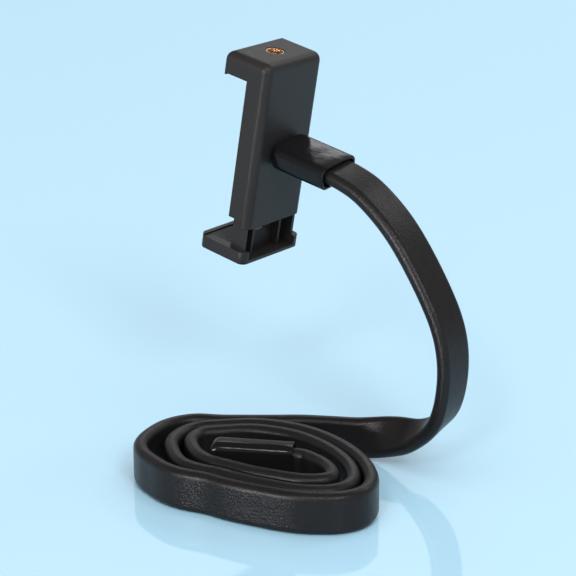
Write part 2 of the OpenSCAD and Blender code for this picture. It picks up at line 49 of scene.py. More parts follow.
# Sizes that the part's source has too, in millimetres and degrees
STRIP_W, STRIP_T, STRIP_ROUND = 17.0, 6.0, 2.0
WIRE_D, WIRE_PITCH, CHANNEL_CLEAR = 2.4, 8.0, 0.25
INNER_HALF_L, INNER_HALF_W = 34.0, 15.6
NEST_GAP, CRESCENT, BACK_LIFT, COIL_ANGLE = 0.35, 7.5, 2.5, 88.0
ARM_HEIGHT, ARM_REACH, ARM_CLEAR, ARM_FRONT = 117.5, 58.0, 23.8, 9.0
HEAD_TILT, HEAD_ROLL = 10.0, 8.0
SLEEVE_WALL, SLEEVE_ROUND, POCKET_CLEAR = 1.8, 3.2, 0.15
HEAD_SLEEVE_L, TAIL_SLEEVE_L, POCKET_SHARE = 28.5, 33.0, 0.8
END_ROUND, END_ROUND_T, RIM_DEPTH, RIM_GAP = 3.5, 1.5, 3.6, 0.75
SWIVEL_GAP, SWIVEL_H = 0.3, 6.5
MOUTH_H, CLAMP_W, CLAMP_D, CLAMP_WALL = 71.6, 35.0, 10.8, 1.5
JAW_REACH, TOP_JAW_H, BODY_DROP = 12.6, 9.5, 26.0
PAD_T, PAD_GAP, PAD_BACK, PAD_INSET, LIP_T, REST_PAD_T = 1.5, 0.4, -0.6, 3.5, 1.9, 1.0
INSERT_D, TRIPOD_BORE_D, INSERT_SUNK, INSERT_FLOOR = 8.0, 5.2, 0.2, 0.8
SPRING_D, SPRING_WIRE_D, SPRING_ROOM, SPRING_TURNS = 4.4, 0.7, 0.35, 20
PIN_D, PEG_D, SLIDE_CLEAR, PIN_DROP, PEG_RISE, LIP_DROP = 2.0, 2.4, 0.15, 4.0, 14.5, 0.7
STEM_HOLD, JAW_CLOSE, STOP_GAP, CHAMBER_H = 36.0, 9.3, 1.0, 9.0


# The strip's route, as in the part's source. A route point holds x, y, z and the lean of the
# strip's width: 90 on edge, 0 flat.

ON_EDGE = 90
TURN_STEP = STRIP_T + NEST_GAP
COIL_TURNS, TURN_STEPS, OFF_PLACES = 2.58, 30, 12
EDGE_Z = STRIP_W / 2
SLEEVE_H = STRIP_W + 2 * (POCKET_CLEAR + SLEEVE_WALL)
SLEEVE_T = STRIP_T + 2 * (POCKET_CLEAR + SLEEVE_WALL)
TAIL_Z = SLEEVE_H / 2
# How far each twelfth of a turn stands off from its neat place, in crescents
OFF_SHARES = [
    0, -0.15, -0.3, -0.15, 0.27, 0.07, 0, -0.45, -0.2, 0, 0, 0,
    0.1, -0.15, -0.3, -0.15, 0.6, 0.3, 0, -0.45, -0.2, 0, 0, 0,
    0.3, -0.15, -0.3, -0.1, 0.8, 1.1, 0.5, -0.45, 0]
TAIL_ANGLE = 120.0
TAIL_MID_SHARES = (0.12, -0.175)
STRAIGHT_SHARES = (1, 0.7, 0.4, 0.1, -0.2)
TAIL_BEND_SHARES = ((-0.5, 0.42), (-0.47, 0.6), (-0.28, 0.82))
# Shares of the arm's plane distance, of its reach and of its height, and the lean
RISE_SHARES = (
    (0.46, -0.36, 0, 90), (0.575, -0.225, 0, 90), (0.695, -0.09, 0, 90), (0.818, 0.095, 0, 90),
    (0.92, 0.3, 0.004, 82), (0.98, 0.515, 0.03, 54), (1, 0.72, 0.062, 26), (1, 0.925, 0.16, 14),
    (1, 1, 0.325, 10), (1, 0.965, 0.49, 8), (1, 0.81, 0.65, 8), (1, 0.55, 0.832, 8),
    (1, 0.28, 0.948, 8))
HEAD_SHARES = (-0.18, 0.16, 0.5, 1)
# The three bends lie between these points of the rise
FLEX_STARTS, FLEX_ENDS = (7, 9, 11), (8, 10, 12)
# The visible skin's route is evened out by a bell curve of width EVEN_OUT that is cut off after
# BELL_WIDTHS widths. Its samples lie SAMPLE_STEP apart.
EVEN_OUT, BELL_WIDTHS, SAMPLE_STEP = 2.4, 3, 0.5
# Steps between two route points at which the route's length is measured
STEPS_PER_POINT = 24
SLACK = 1e-9


def unit(v):
    return v / np.linalg.norm(v)


def cosd(a):
    return np.cos(np.radians(a))


def sind(a):
    return np.sin(np.radians(a))


LONG_DIR = np.array([cosd(COIL_ANGLE), sind(COIL_ANGLE)])
SHORT_DIR = np.array([sind(COIL_ANGLE), -cosd(COIL_ANGLE)])


def stand_off(t):
    """How far the coil stands off from a neat spiral after t turns."""
    i = int(np.floor(t * OFF_PLACES + SLACK))
    f = t * OFF_PLACES - i
    f = f * f * (3 - 2 * f)
    nxt = OFF_SHARES[min(i + 1, len(OFF_SHARES) - 1)]
    return CRESCENT * (OFF_SHARES[i] * (1 - f) + nxt * f)


def spiral_point(t):
    """The coil's route point after t turns. The tail's end is lifted, and so are the inner backs."""
    c, s = cosd(360 * t), sind(360 * t)
    out = unit(c / INNER_HALF_L * LONG_DIR + s / INNER_HALF_W * SHORT_DIR)
    p = INNER_HALF_L * c * LONG_DIR + INNER_HALF_W * s * SHORT_DIR
    p = p + (TURN_STEP * t + stand_off(t)) * out
    lift = max(0, 1 - 2 * t) * (TAIL_Z - EDGE_Z)
    if t < 2:
        lift += BACK_LIFT * max(0, -s) ** 1.5
    return [p[0], p[1], EDGE_Z + lift, ON_EDGE]


TAIL_DIR = np.array([cosd(TAIL_ANGLE), sind(TAIL_ANGLE), 0, 0])
TAIL_MID = np.array(
    [TAIL_MID_SHARES[0] * INNER_HALF_W, TAIL_MID_SHARES[1] * INNER_HALF_L, TAIL_Z, ON_EDGE])
TAIL_MOUTH = TAIL_MID + TAIL_DIR * TAIL_SLEEVE_L / 2
TAIL_POCKET = TAIL_SLEEVE_L * POCKET_SHARE
ARM_X = -(INNER_HALF_W + TURN_STEP * COIL_TURNS + ARM_CLEAR)
ARM_TOP = np.array([ARM_X, -ARM_FRONT, ARM_HEIGHT])
HEAD_DIR = np.array([0, -cosd(HEAD_TILT), sind(HEAD_TILT)])
HEAD_POCKET = HEAD_SLEEVE_L * POCKET_SHARE


def make_route():
    """All route points from the tail to the head, and the number of the rise's first point."""
    tail = [TAIL_MOUTH - TAIL_DIR * TAIL_POCKET * s for s in STRAIGHT_SHARES]
    tail += [[s[0] * INNER_HALF_W, s[1] * INNER_HALF_L, TAIL_Z, ON_EDGE]
             for s in TAIL_BEND_SHARES]
    count = round(COIL_TURNS * TURN_STEPS)
    spiral = [spiral_point(i / TURN_STEPS) for i in range(count + 1)]
    rise = [[ARM_X * s[0], ARM_TOP[1] + ARM_REACH * s[1],
             EDGE_Z + (ARM_HEIGHT - EDGE_Z) * s[2], s[3]] for s in RISE_SHARES]
    head = [list(ARM_TOP + HEAD_DIR * HEAD_POCKET * s) + [HEAD_ROLL] for s in HEAD_SHARES]
    return np.array(list(map(list, tail)) + spiral + rise + head, float), len(tail) + len(spiral)


ROUTE, RISE_START = make_route()
LAST = len(ROUTE) - 1


def route_point(i):
    """Route point i, or a point in line past either end."""
    if i < 0:
        return 2 * ROUTE[0] - ROUTE[1]
    return 2 * ROUTE[LAST] - ROUTE[LAST - 1] if i > LAST else ROUTE[i]


def raw_point(u):
    """The route's place and lean at u, as the part's source has it."""
    i = min(int(np.floor(u)), LAST - 1)
    f = u - i
    a, b, c, d = (route_point(i + k) for k in (-1, 0, 1, 2))
    return b + ((c - a) * f + (2 * a - 5 * b + 4 * c - d) * f**2 + (3 * b - a - 3 * c + d) * f**3) / 2


def smooth_route():
    """Lengths along the route at even steps of u, and evenly spaced points with no kinks."""
    us = np.linspace(0, LAST, LAST * STEPS_PER_POINT + 1)
    pts = np.array([raw_point(u) for u in us])
    lengths = np.r_[0, np.cumsum(np.linalg.norm(np.diff(pts[:, :3], axis=0), axis=1))]
    count = round(lengths[-1] / SAMPLE_STEP)
    even = np.linspace(0, lengths[-1], count + 1)
    rows = np.stack([np.interp(even, lengths, pts[:, k]) for k in range(4)], axis=1)
    reach = round(BELL_WIDTHS * EVEN_OUT / SAMPLE_STEP)
    weights = np.exp(-0.5 * (np.arange(-reach, reach + 1) * SAMPLE_STEP / EVEN_OUT) ** 2)
    weights /= weights.sum()
    before = 2 * rows[0] - rows[reach:0:-1]
    after = 2 * rows[-1] - rows[-2:-reach - 2:-1]
    padded = np.concatenate([before, rows, after])
    rows = np.stack([np.convolve(padded[:, k], weights, "valid") for k in range(4)], axis=1)
    return us, lengths, even, rows


ROUTE_US, ROUTE_LENGTHS, EVEN, EVEN_ROWS = smooth_route()


def length_at(u):
    """How far along the strip the route's point u lies."""
    return float(np.interp(u, ROUTE_US, ROUTE_LENGTHS))


def strip_frame(u):
    """Place, width direction, thickness direction and heading of the strip at u."""
    s = length_at(u)
    p, ahead, behind = (
        np.array([np.interp(x, EVEN, EVEN_ROWS[:, k]) for k in range(4)])
        for x in (s, min(s + SAMPLE_STEP, EVEN[-1]), max(s - SAMPLE_STEP, 0)))
    t = unit((ahead - behind)[:3])
    lean = np.array([-cosd(p[3]), 0, sind(p[3])])
    w = unit(lean - (lean @ t) * t)
    return p[:3], w, np.cross(t, w), t


# Mesh helpers

# Edges under these angles shade smooth, in degrees
SMOOTH_UNDER, THREAD_SMOOTH, TUBE_SMOOTH = 40, 50, 60


def collection_link(ob):
    """Puts an object into the scene and returns it."""
    bpy.context.scene.collection.objects.link(ob)
    return ob


def mesh_piece(name, verts, faces, uvs=None, normals=None, smooth_angle=None):
    """An object from points in millimetres; uvs and normals hold one value a face corner."""
    me = bpy.data.meshes.new(name)
    me.from_pydata([tuple(MM * c for c in v) for v in verts], [], faces)
    if uvs is not None:
        layer = me.uv_layers.new(name="UVMap")
        layer.data.foreach_set("uv", np.asarray(uvs, np.float32).ravel())
    me.polygons.foreach_set("use_smooth", [True] * len(me.polygons))
    if smooth_angle is not None:
        me.set_sharp_from_angle(angle=np.radians(smooth_angle))
    if normals is not None:
        me.normals_split_custom_set(np.asarray(normals, np.float32).tolist())
    me.update()
    return collection_link(bpy.data.objects.new(name, me))


def rounded_rect(w, h, r, steps, flats):
    """Points and outward normals round a rectangle with round corners, counterclockwise."""
    pts, nors = [], []
    corners = ((w / 2 - r, h / 2 - r, 0), (-w / 2 + r, h / 2 - r, 90),
               (-w / 2 + r, -h / 2 + r, 180), (w / 2 - r, -h / 2 + r, 270))
    for cx, cy, a0 in corners:
        for k in range(steps + 1):
            a = a0 + 90 * k / steps
            pts.append((cx + r * cosd(a), cy + r * sind(a)))
            nors.append((cosd(a), sind(a)))
        if flats > 1:
            nxt = corners[(a0 // 90 + 1) % 4]
            end = (nxt[0] + r * cosd(a0 + 90), nxt[1] + r * sind(a0 + 90))
            beg = pts[-1]
            for k in range(1, flats):
                f = k / flats
                pts.append((beg[0] + (end[0] - beg[0]) * f, beg[1] + (end[1] - beg[1]) * f))
                nors.append((cosd(a0 + 90), sind(a0 + 90)))
    return np.array(pts), np.array(nors)


def circle(x, y, r, steps, inward=False):
    """Points and normals round a circle; the normals of a hole point inwards."""
    a = 360 * np.arange(steps) / steps
    sign = -1 if inward else 1
    return (np.c_[x + r * cosd(a), y + r * sind(a)], sign * np.c_[cosd(a), sind(a)])


def loop_length(pts):
    """The length round a closed loop at each point, ending with the whole loop."""
    return np.r_[0, np.cumsum(np.linalg.norm(np.roll(pts, -1, 0) - pts, axis=1))]


def sweep(name, us, loops, capped):
    """Draws loops of the strip's section, the first outside and the rest as holes or alone."""
    frames = [strip_frame(u) for u in us]
    along = [length_at(u) for u in us]
    sizes = [len(pts) for pts, _, _ in loops]
    total = sum(sizes)
    verts = []
    for p, w, n, _ in frames:
        for pts, _, _ in loops:
            verts += [p + x * w + y * n for x, y in pts]
    faces, uvs, normals = [], [], []
    start = 0
    for pts, nors, inward in loops:
        m = len(pts)
        around = loop_length(pts)
        for i in range(len(us) - 1):
            na = [x * frames[i][1] + y * frames[i][2] for x, y in nors]
            nb = [x * frames[i + 1][1] + y * frames[i + 1][2] for x, y in nors]
            for j in range(m):
                k = (j + 1) % m
                a, b = i * total + start + j, i * total + start + k
                quad = [(a, na[j], (along[i], around[j])), (b, na[k], (along[i], around[j + 1])),
                        (b + total, nb[k], (along[i + 1], around[j + 1])),
                        (a + total, nb[j], (along[i + 1], around[j]))]
                if inward:
                    quad.reverse()
                faces.append([q[0] for q in quad])
                normals += [q[1] for q in quad]
                uvs += [(MM * q[2][0], MM * q[2][1]) for q in quad]
        start += m
    cap_loops(loops, sizes, frames, total, capped, faces, uvs, normals)
    return mesh_piece(name, verts, faces, uvs, normals)


def cap_loops(loops, sizes, frames, total, capped, faces, uvs, normals):
    """Adds flat end faces to a sweep's lists, at its start and its end where capped says so."""
    holes = any(inward for _, _, inward in loops)
    starts = np.r_[0, np.cumsum(sizes)]
    groups = [range(len(loops))] if holes else [[i] for i in range(len(loops))]
    flat = np.concatenate([pts for pts, _, _ in loops])
    for end, keep in ((0, capped[0]), (len(frames) - 1, capped[1])):
        if not keep:
            continue
        for group in groups:
            ids = np.concatenate([np.arange(starts[g], starts[g + 1]) for g in group])
            tris = tessellate_polygon(
                [[Vector((x, y, 0)) for x, y in loops[g][0]] for g in group])
            for tri in tris:
                tri = [int(ids[k]) for k in tri]
                a, b, c = (flat[k] for k in tri)
                area = (b[0] - a[0]) * (c[1] - a[1]) - (b[1] - a[1]) * (c[0] - a[0])
                if (area > 0) == (end == 0):
                    tri.reverse()
                faces.append([k + end * total for k in tri])
                t = frames[end][3] if end else -frames[end][3]
                normals += [t] * 3
                uvs += [(MM * flat[k][0], MM * flat[k][1]) for k in tri]


def grid_piece(name, rings, smooth_angle, close_ends=True):
    """A tube from rings of points in millimetres, all of one count, in order along the surface."""
    m = len(rings[0])
    verts = [p for ring in rings for p in ring]
    faces, corner_uvs = [], []
    run = 0.0
    for i in range(len(rings) - 1):
        step = float(np.mean(np.linalg.norm(np.array(rings[i + 1]) - np.array(rings[i]), axis=1)))
        around = loop_length(np.array(rings[i]))
        for j in range(m):
            k = (j + 1) % m
            faces.append([i * m + j, i * m + k, (i + 1) * m + k, (i + 1) * m + j])
            corner_uvs += [(MM * run, MM * around[j]), (MM * run, MM * around[j + 1]),
                           (MM * (run + step), MM * around[j + 1]), (MM * (run + step), MM * around[j])]
        run += step
    if close_ends:
        faces.append(list(range(m))[::-1])
        faces.append([(len(rings) - 1) * m + j for j in range(m)])
        for ring in (rings[0], rings[-1]):
            corner_uvs += [(MM * p[0], MM * p[1]) for p in ring]
    return mesh_piece(name, verts, faces, corner_uvs, None, smooth_angle)


def in_frame(points, frame_matrix):
    """Points moved by a 4x4 in millimetres."""
    pts = np.c_[np.array(points, float), np.ones(len(points))]
    return (pts @ np.array(frame_matrix).T)[:, :3]


def strip_matrix(u, place):
    """The frame of the strip at u, moved to a place: its width, its thickness, its heading."""
    _, w, n, t = strip_frame(u)
    m = np.eye(4)
    m[:3, 0], m[:3, 1], m[:3, 2], m[:3, 3] = w, n, t, place
    return m


def head_matrix():
    """The clamp's own frame: y = 0 at the phone's back, z = 0 in the middle of its mouth."""
    c, s = cosd(HEAD_TILT), sind(HEAD_TILT)
    turn = np.array([[1, 0, 0], [0, c, s], [0, -s, c]])
    m = np.eye(4)
    m[:3, :3] = turn
    m[:3, 3] = ARM_TOP + turn @ np.array([0, -(HEAD_SLEEVE_L + CLAMP_D), -SWIVEL_H])
    return m


HEAD = head_matrix()


# Materials

# Places of the colour sockets on a Mix node
MIX_A, MIX_B, MIX_RESULT = 6, 7, 2


class Nodes:
    """Short ways to add shader nodes to one material."""

    def __init__(self, name):
        self.material = bpy.data.materials.new(name)
        self.material.use_nodes = True
        self.tree = self.material.node_tree
        self.shader = self.tree.nodes["Principled BSDF"]

    def add(self, kind, **values):
        node = self.tree.nodes.new(kind)
        for key, value in values.items():
            if key in node.inputs:
                node.inputs[key].default_value = value
            else:
                setattr(node, key, value)
        return node

    def link(self, a, b):
        self.tree.links.new(a, b)

    def coords(self, kind, scale=1.0):
        source = self.add("ShaderNodeTexCoord")
        mapping = self.add("ShaderNodeMapping")
        mapping.inputs["Scale"].default_value = (scale,) * 3 if isinstance(scale, float) else scale
        self.link(source.outputs[kind], mapping.inputs["Vector"])
        return mapping.outputs["Vector"]

    def noise(self, vector, scale, detail=2.0, roughness=0.5):
        node = self.add("ShaderNodeTexNoise", Scale=scale, Detail=detail, Roughness=roughness)
        self.link(vector, node.inputs["Vector"])
        return node.outputs["Fac"]

    def cells(self, vector, scale, smoothness):
        node = self.add("ShaderNodeTexVoronoi", feature="SMOOTH_F1")
        node.inputs["Scale"].default_value = scale
        node.inputs["Smoothness"].default_value = smoothness
        self.link(vector, node.inputs["Vector"])
        return node.outputs["Distance"]

    def ramp(self, value, start, end):
        """Maps the range start onto the range end."""
        node = self.add("ShaderNodeMapRange")
        for key, number in zip(("From Min", "From Max", "To Min", "To Max"), (*start, *end)):
            node.inputs[key].default_value = number
        self.link(value, node.inputs["Value"])
        return node.outputs["Result"]

    def math(self, op, a, b):
        node = self.add("ShaderNodeMath", operation=op)
        for socket, value in zip(node.inputs, (a, b)):
            if isinstance(value, (int, float)):
                socket.default_value = value
            else:
                self.link(value, socket)
        return node.outputs["Value"]

    def mix_colour(self, factor, a, b):
        node = self.add("ShaderNodeMix", data_type="RGBA")
        node.inputs[MIX_A].default_value = (*a, 1)
        node.inputs[MIX_B].default_value = (*b, 1)
        self.link(factor, node.inputs["Factor"])
        return node.outputs[MIX_RESULT]

    def bump(self, height, strength, distance, normal=None):
        node = self.add("ShaderNodeBump", Strength=strength, Distance=distance)
        self.link(height, node.inputs["Height"])
        if normal is not None:
            self.link(normal, node.inputs["Normal"])
        return node.outputs["Normal"]

    def finish(self, **values):
        for key, value in values.items():
            socket = self.shader.inputs[key.replace("_", " ")]
            if isinstance(value, (int, float, tuple)):
                socket.default_value = value
            else:
                self.link(value, socket)
        return self.material


# Black rubber and plastic lose the floor's blue in what they mirror
WARM, WARMER = (1.0, 0.87, 0.83, 1.0), (1.0, 0.82, 0.75, 1.0)
# Each surface's colour changes a little between a dark and a light shade
SHEATH_DARK, SHEATH_LIGHT = (0.0078, 0.0072, 0.0077), (0.0112, 0.0104, 0.011)
PLASTIC_DARK, PLASTIC_LIGHT = (0.0142, 0.0128, 0.0128), (0.0186, 0.0169, 0.0169)
SLEEVE_DARK, SLEEVE_LIGHT = (0.0055, 0.0054, 0.006), (0.0085, 0.0083, 0.009)
PAD_DARK, PAD_LIGHT = (0.021, 0.021, 0.022), (0.034, 0.034, 0.035)
BRASS_LIGHT, BRASS_DARK = (0.64, 0.35, 0.18), (0.32, 0.15, 0.07)
STEEL_LIGHT, STEEL_DARK = (0.56, 0.57, 0.58), (0.36, 0.35, 0.34)
WIRE_LIGHT, WIRE_DARK = (0.62, 0.62, 0.63), (0.42, 0.41, 0.4)
# Most of a noise's values lie between these two
NOISE_SPAN = (0.3, 0.7)


def sheath_material():
    """Satin black rubber with a fine pebbled grain."""
    n = Nodes("sheath_rubber")
    uv = n.coords("UV")
    grain = n.cells(uv, scale=1350.0, smoothness=0.4)
    fine = n.noise(uv, scale=3200.0, detail=2.0)
    patches = n.noise(uv, scale=60.0, detail=3.0, roughness=0.6)
    depth = n.ramp(patches, (0.35, 0.7), (0.4, 1.0))
    height = n.math("ADD", n.math("MULTIPLY", grain, depth), n.math("MULTIPLY", fine, 0.4))
    waves = n.bump(n.noise(uv, scale=90.0, detail=2.0), strength=0.2, distance=0.0006)
    normal = n.bump(height, strength=0.34, distance=0.0003, normal=waves)
    colour = n.mix_colour(patches, SHEATH_DARK, SHEATH_LIGHT)
    rough = n.ramp(n.noise(uv, scale=240.0, detail=3.0, roughness=0.6), NOISE_SPAN, (0.3, 0.4))
    return n.finish(Base_Color=colour, Roughness=rough, Normal=normal, Specular_IOR_Level=0.22,
                    Specular_Tint=WARM)


def plastic_material():
    """Matte black moulded plastic with a fine spark-eroded texture."""
    n = Nodes("clamp_plastic")
    at = n.coords("Object")
    texture = n.noise(at, scale=3000.0, detail=3.0, roughness=0.6)
    patches = n.noise(at, scale=45.0, detail=3.0, roughness=0.55)
    waves = n.bump(n.noise(at, scale=110.0, detail=2.0), strength=0.12, distance=0.0005)
    normal = n.bump(texture, strength=0.16, distance=0.00018, normal=waves)
    colour = n.mix_colour(patches, PLASTIC_DARK, PLASTIC_LIGHT)
    rough = n.ramp(texture, NOISE_SPAN, (0.4, 0.52))
    return n.finish(Base_Color=colour, Roughness=rough, Normal=normal, Specular_IOR_Level=0.3,
                    Specular_Tint=WARMER)


def sleeve_material():
    """Gloss black plastic, with the slight waviness of a moulded skin and a few fine scuffs."""
    n = Nodes("sleeve_plastic")
    at = n.coords("Object")
    waves = n.bump(n.noise(at, scale=130.0, detail=2.0, roughness=0.45), strength=0.35,
                   distance=0.0007)
    normal = n.bump(n.noise(at, scale=2600.0, detail=2.0), strength=0.05, distance=0.0001,
                    normal=waves)
    scuffs = n.noise(n.coords("Object", (900.0, 240.0, 900.0)), scale=1.0, detail=4.0, roughness=0.7)
    rough = n.ramp(scuffs, (0.45, 0.75), (0.13, 0.27))
    colour = n.mix_colour(n.noise(at, scale=70.0, detail=2.0), SLEEVE_DARK, SLEEVE_LIGHT)
    return n.finish(Base_Color=colour, Roughness=rough, Normal=normal, Specular_IOR_Level=0.2,
                    Specular_Tint=WARM)


def pad_material():
    """Soft black rubber, duller and a little greyer than the sheath."""
    n = Nodes("pad_rubber")
    at = n.coords("Object")
    grain = n.cells(at, scale=1900.0, smoothness=0.7)
    dust = n.noise(at, scale=320.0, detail=4.0, roughness=0.7)
    normal = n.bump(grain, strength=0.3, distance=0.0002)
    colour = n.mix_colour(n.ramp(dust, (0.5, 0.8), (0, 1)), PAD_DARK, PAD_LIGHT)
    rough = n.ramp(dust, NOISE_SPAN, (0.62, 0.78))
    return n.finish(Base_Color=colour, Roughness=rough, Normal=normal)


def metal_material(name, light, dark, shine, scale):
    """Turned or drawn metal with faint tool marks and a little tarnish."""
    n = Nodes(name)
    at = n.coords("Object")
    marks = n.noise(n.coords("Object", scale), scale=1.0, detail=3.0, roughness=0.6)
    tarnish = n.noise(at, scale=420.0, detail=4.0, roughness=0.65)
    colour = n.mix_colour(n.ramp(tarnish, (0.4, 0.72), (0, 1)), light, dark)
    rough = n.ramp(marks, NOISE_SPAN, shine)
    normal = n.bump(marks, strength=0.2, distance=0.00008)
    return n.finish(Base_Color=colour, Metallic=1.0, Roughness=rough, Normal=normal)


MATERIALS = {
    "sheath_rubber": sheath_material(),
    "clamp_plastic": plastic_material(),
    "sleeve_plastic": sleeve_material(),
    "pad_rubber": pad_material(),
    "brass": metal_material("brass", BRASS_LIGHT, BRASS_DARK, (0.16, 0.34), (300.0, 300.0, 9000.0)),
    "steel": metal_material("steel", STEEL_LIGHT, STEEL_DARK, (0.2, 0.36), (400.0, 6000.0, 400.0)),
    "wire": metal_material("wire", WIRE_LIGHT, WIRE_DARK, (0.24, 0.4), (2500.0, 2500.0, 2500.0)),
}


def dress(ob, slot):
    """Gives a piece or a CAD node its slot's material."""
    ob.data.materials.clear()
    ob.data.materials.append(MATERIALS[slot])
    return ob


# The strip's skin and its two core wires

BODIES = ("base", "arm_low", "arm_middle", "arm_high")
# The rubber's edges look rounder than the solid's, which keep a flat between two roundings
SKIN_ROUND, SKIN_CORNER_STEPS, SKIN_FLATS = 2.75, 9, 3
CORE_SIDES = 10
# Distance between the skin's rings in the coil and in the arm
COIL_STEP, ARM_STEP = 1.3, 0.9
STRIP_SECTION = (
    *rounded_rect(STRIP_W, STRIP_T, SKIN_ROUND, SKIN_CORNER_STEPS, SKIN_FLATS), False)
CHANNELS = [
    (*circle(side * WIRE_PITCH / 2, 0, WIRE_D / 2 + CHANNEL_CLEAR, CORE_SIDES, True), True)
    for side in (1, -1)]
WIRES = [(*circle(side * WIRE_PITCH / 2, 0, WIRE_D / 2, CORE_SIDES), False) for side in (1, -1)]


def stations(a, b, step):
    """Numbers from a to b whose places on the route lie about one step apart."""
    us = [float(a)]
    for i in range(a, b):
        length = np.linalg.norm(route_point(i + 1)[:3] - route_point(i)[:3])
        count = max(1, round(length / step))
        us += [i + (k + 1) / count for k in range(count)]
    return us


def strip_pieces():
    """The coil, then the arm from one bend to the next, each with its skin and its two wires."""
    starts = [RISE_START + k for k in FLEX_STARTS]
    cuts = [0] + starts + [LAST]
    for k in range(4):
        us = stations(cuts[k], cuts[k + 1], ARM_STEP if k else COIL_STEP)
        tag = "coil" if k == 0 else f"bend_{k}"
        nodes = ("strip_coil", "wires_coil")
        if k:
            nodes = (f"flex_{k}", f"strip_{k}", f"flex_wires_{k}", f"wires_{k}")
        half = len(nodes) // 2
        capped = (k == 0, k == 3)
        skin = dress(sweep(f"skin_{tag}", us, [STRIP_SECTION] + CHANNELS, capped), "sheath_rubber")
        core = dress(sweep(f"core_{tag}", us, WIRES, capped), "wire")
        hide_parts(*nodes[:half])
        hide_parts(*nodes[half:])
        for piece in (skin, core):
            if k:
                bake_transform(piece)
            else:
                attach(piece, BODIES[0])


# The two end sleeves

SLEEVE_CORNER_STEPS, SLEEVE_FLATS = 8, 2
CAP_STEPS, WALL_RINGS, RIM_STEPS = 10, 6, 4
# The least corner rounding of a ring, and the most that the closed end takes off the corners
SHARP_ROUND, CAP_ROUND = 0.05, 1.6
# Roundings of the mouth's rim, outside and inside
RIM_ROUND, RIM_ROUND_IN = 0.35, 0.21
# Bevels at the step from the rim's wider part to the pocket
POCKET_EASE, POCKET_STEP = 0.2, 0.15


def sleeve_rings(length, pocket_depth):
    """Rings of points from the closed end over the mouth's rim into the pocket."""
    rings = []

    def ring(w, h, r, z, grow=0.0):
        pts, _ = rounded_rect(w + 2 * grow, h + 2 * grow, max(r + grow, SHARP_ROUND),
                              SLEEVE_CORNER_STEPS, SLEEVE_FLATS)
        rings.append([(x, y, z) for x, y in pts])

    # The round end: each direction follows its own radius
    for k in range(CAP_STEPS + 1):
        a = 90 * k / CAP_STEPS
        z = length - END_ROUND + END_ROUND * cosd(a)
        in_w = END_ROUND * (1 - sind(a))
        past = max(0.0, z - (length - END_ROUND_T))
        in_t = END_ROUND_T - (END_ROUND_T**2 - past**2) ** 0.5
        ring(SLEEVE_H - 2 * in_w, SLEEVE_T - 2 * in_t, SLEEVE_ROUND - min(in_t, CAP_ROUND), z)
    for k in range(1, WALL_RINGS):
        z = (length - END_ROUND) * (1 - k / WALL_RINGS)
        ring(SLEEVE_H, SLEEVE_T, SLEEVE_ROUND, z)
    for k in range(RIM_STEPS + 1):
        a = 90 * k / RIM_STEPS
        ring(SLEEVE_H, SLEEVE_T, SLEEVE_ROUND, RIM_ROUND * (1 - sind(a)),
             -RIM_ROUND * (1 - cosd(a)))
    pocket = (STRIP_W + 2 * POCKET_CLEAR, STRIP_T + 2 * POCKET_CLEAR, STRIP_ROUND + POCKET_CLEAR)
    for k in range(RIM_STEPS + 1):
        a = 90 * k / RIM_STEPS
        ring(*pocket, RIM_ROUND_IN * (1 - cosd(a)), RIM_GAP + RIM_ROUND_IN * (1 - sind(a)))
    ring(*pocket, RIM_DEPTH - POCKET_EASE, RIM_GAP)
    ring(*pocket, RIM_DEPTH, RIM_GAP - POCKET_EASE)
    ring(*pocket, RIM_DEPTH, POCKET_STEP)
    ring(*pocket, RIM_DEPTH + POCKET_STEP, 0)
    ring(*pocket, pocket_depth + POCKET_CLEAR, 0)
    return rings


def sleeve(name, node, length, pocket_depth, matrix, body):
    """A hollow sleeve with a round closed end, whose mouth is at the matrix's place."""
    rings = [in_frame(ring, matrix) for ring in sleeve_rings(length, pocket_depth)]
    piece = dress(grid_piece(name, rings, SMOOTH_UNDER), "sleeve_plastic")
    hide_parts(node)
    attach(piece, body)


def sleeve_pieces():
    """The tail sleeve inside the coil, and the head sleeve behind the clamp."""
    turn = np.diag([1.0, -1.0, -1.0, 1.0])
    sleeve("tail_sleeve_shell", "tail_sleeve", TAIL_SLEEVE_L, TAIL_POCKET,
           strip_matrix(0, TAIL_MOUTH[:3]) @ turn, "base")
    sleeve("head_sleeve_shell", "head_sleeve", HEAD_SLEEVE_L - SWIVEL_GAP, HEAD_POCKET,
           strip_matrix(LAST, ARM_TOP), "arm_high")


# The clamp

BODY_TOP = MOUTH_H / 2 + TOP_JAW_H
BODY_FRONT = REST_PAD_T / 2
SPRING_Y = BODY_FRONT + CLAMP_WALL + SPRING_ROOM + SPRING_D / 2
SPRING_TOP = STEM_HOLD - BODY_DROP + JAW_CLOSE + STOP_GAP + CHAMBER_H
PIN_Z = SPRING_TOP - PIN_DROP
PLATE_TOP = -MOUTH_H / 2 - LIP_DROP / 4
PEG_Z = PLATE_TOP + PEG_RISE
# The shell's outer rounding, the angle between its cuts, and how near points are one point
SHELL_ROUND, CUT_ANGLE, NEAR = 3.8, 12, 0.002
EDGE_STEPS, EDGE_ANGLE = 3, 32
SHELL_EDGE, JAW_EDGE, STEEL_EDGE, BUSH_EDGE = 0.3, 0.25, 0.2, 0.15


def soft_edges(ob, width):
    """Rounds a CAD node's sharp edges a little, as a mould does."""
    weld = ob.modifiers.new("weld", "WELD")
    weld.merge_threshold = NEAR * MM
    bevel = ob.modifiers.new("edges", "BEVEL")
    bevel.width = width * MM
    bevel.segments = EDGE_STEPS
    bevel.limit_method = "ANGLE"
    bevel.angle_limit = np.radians(EDGE_ANGLE)
    bevel.harden_normals = True
    bevel.miter_outer = "MITER_ARC"
    return ob


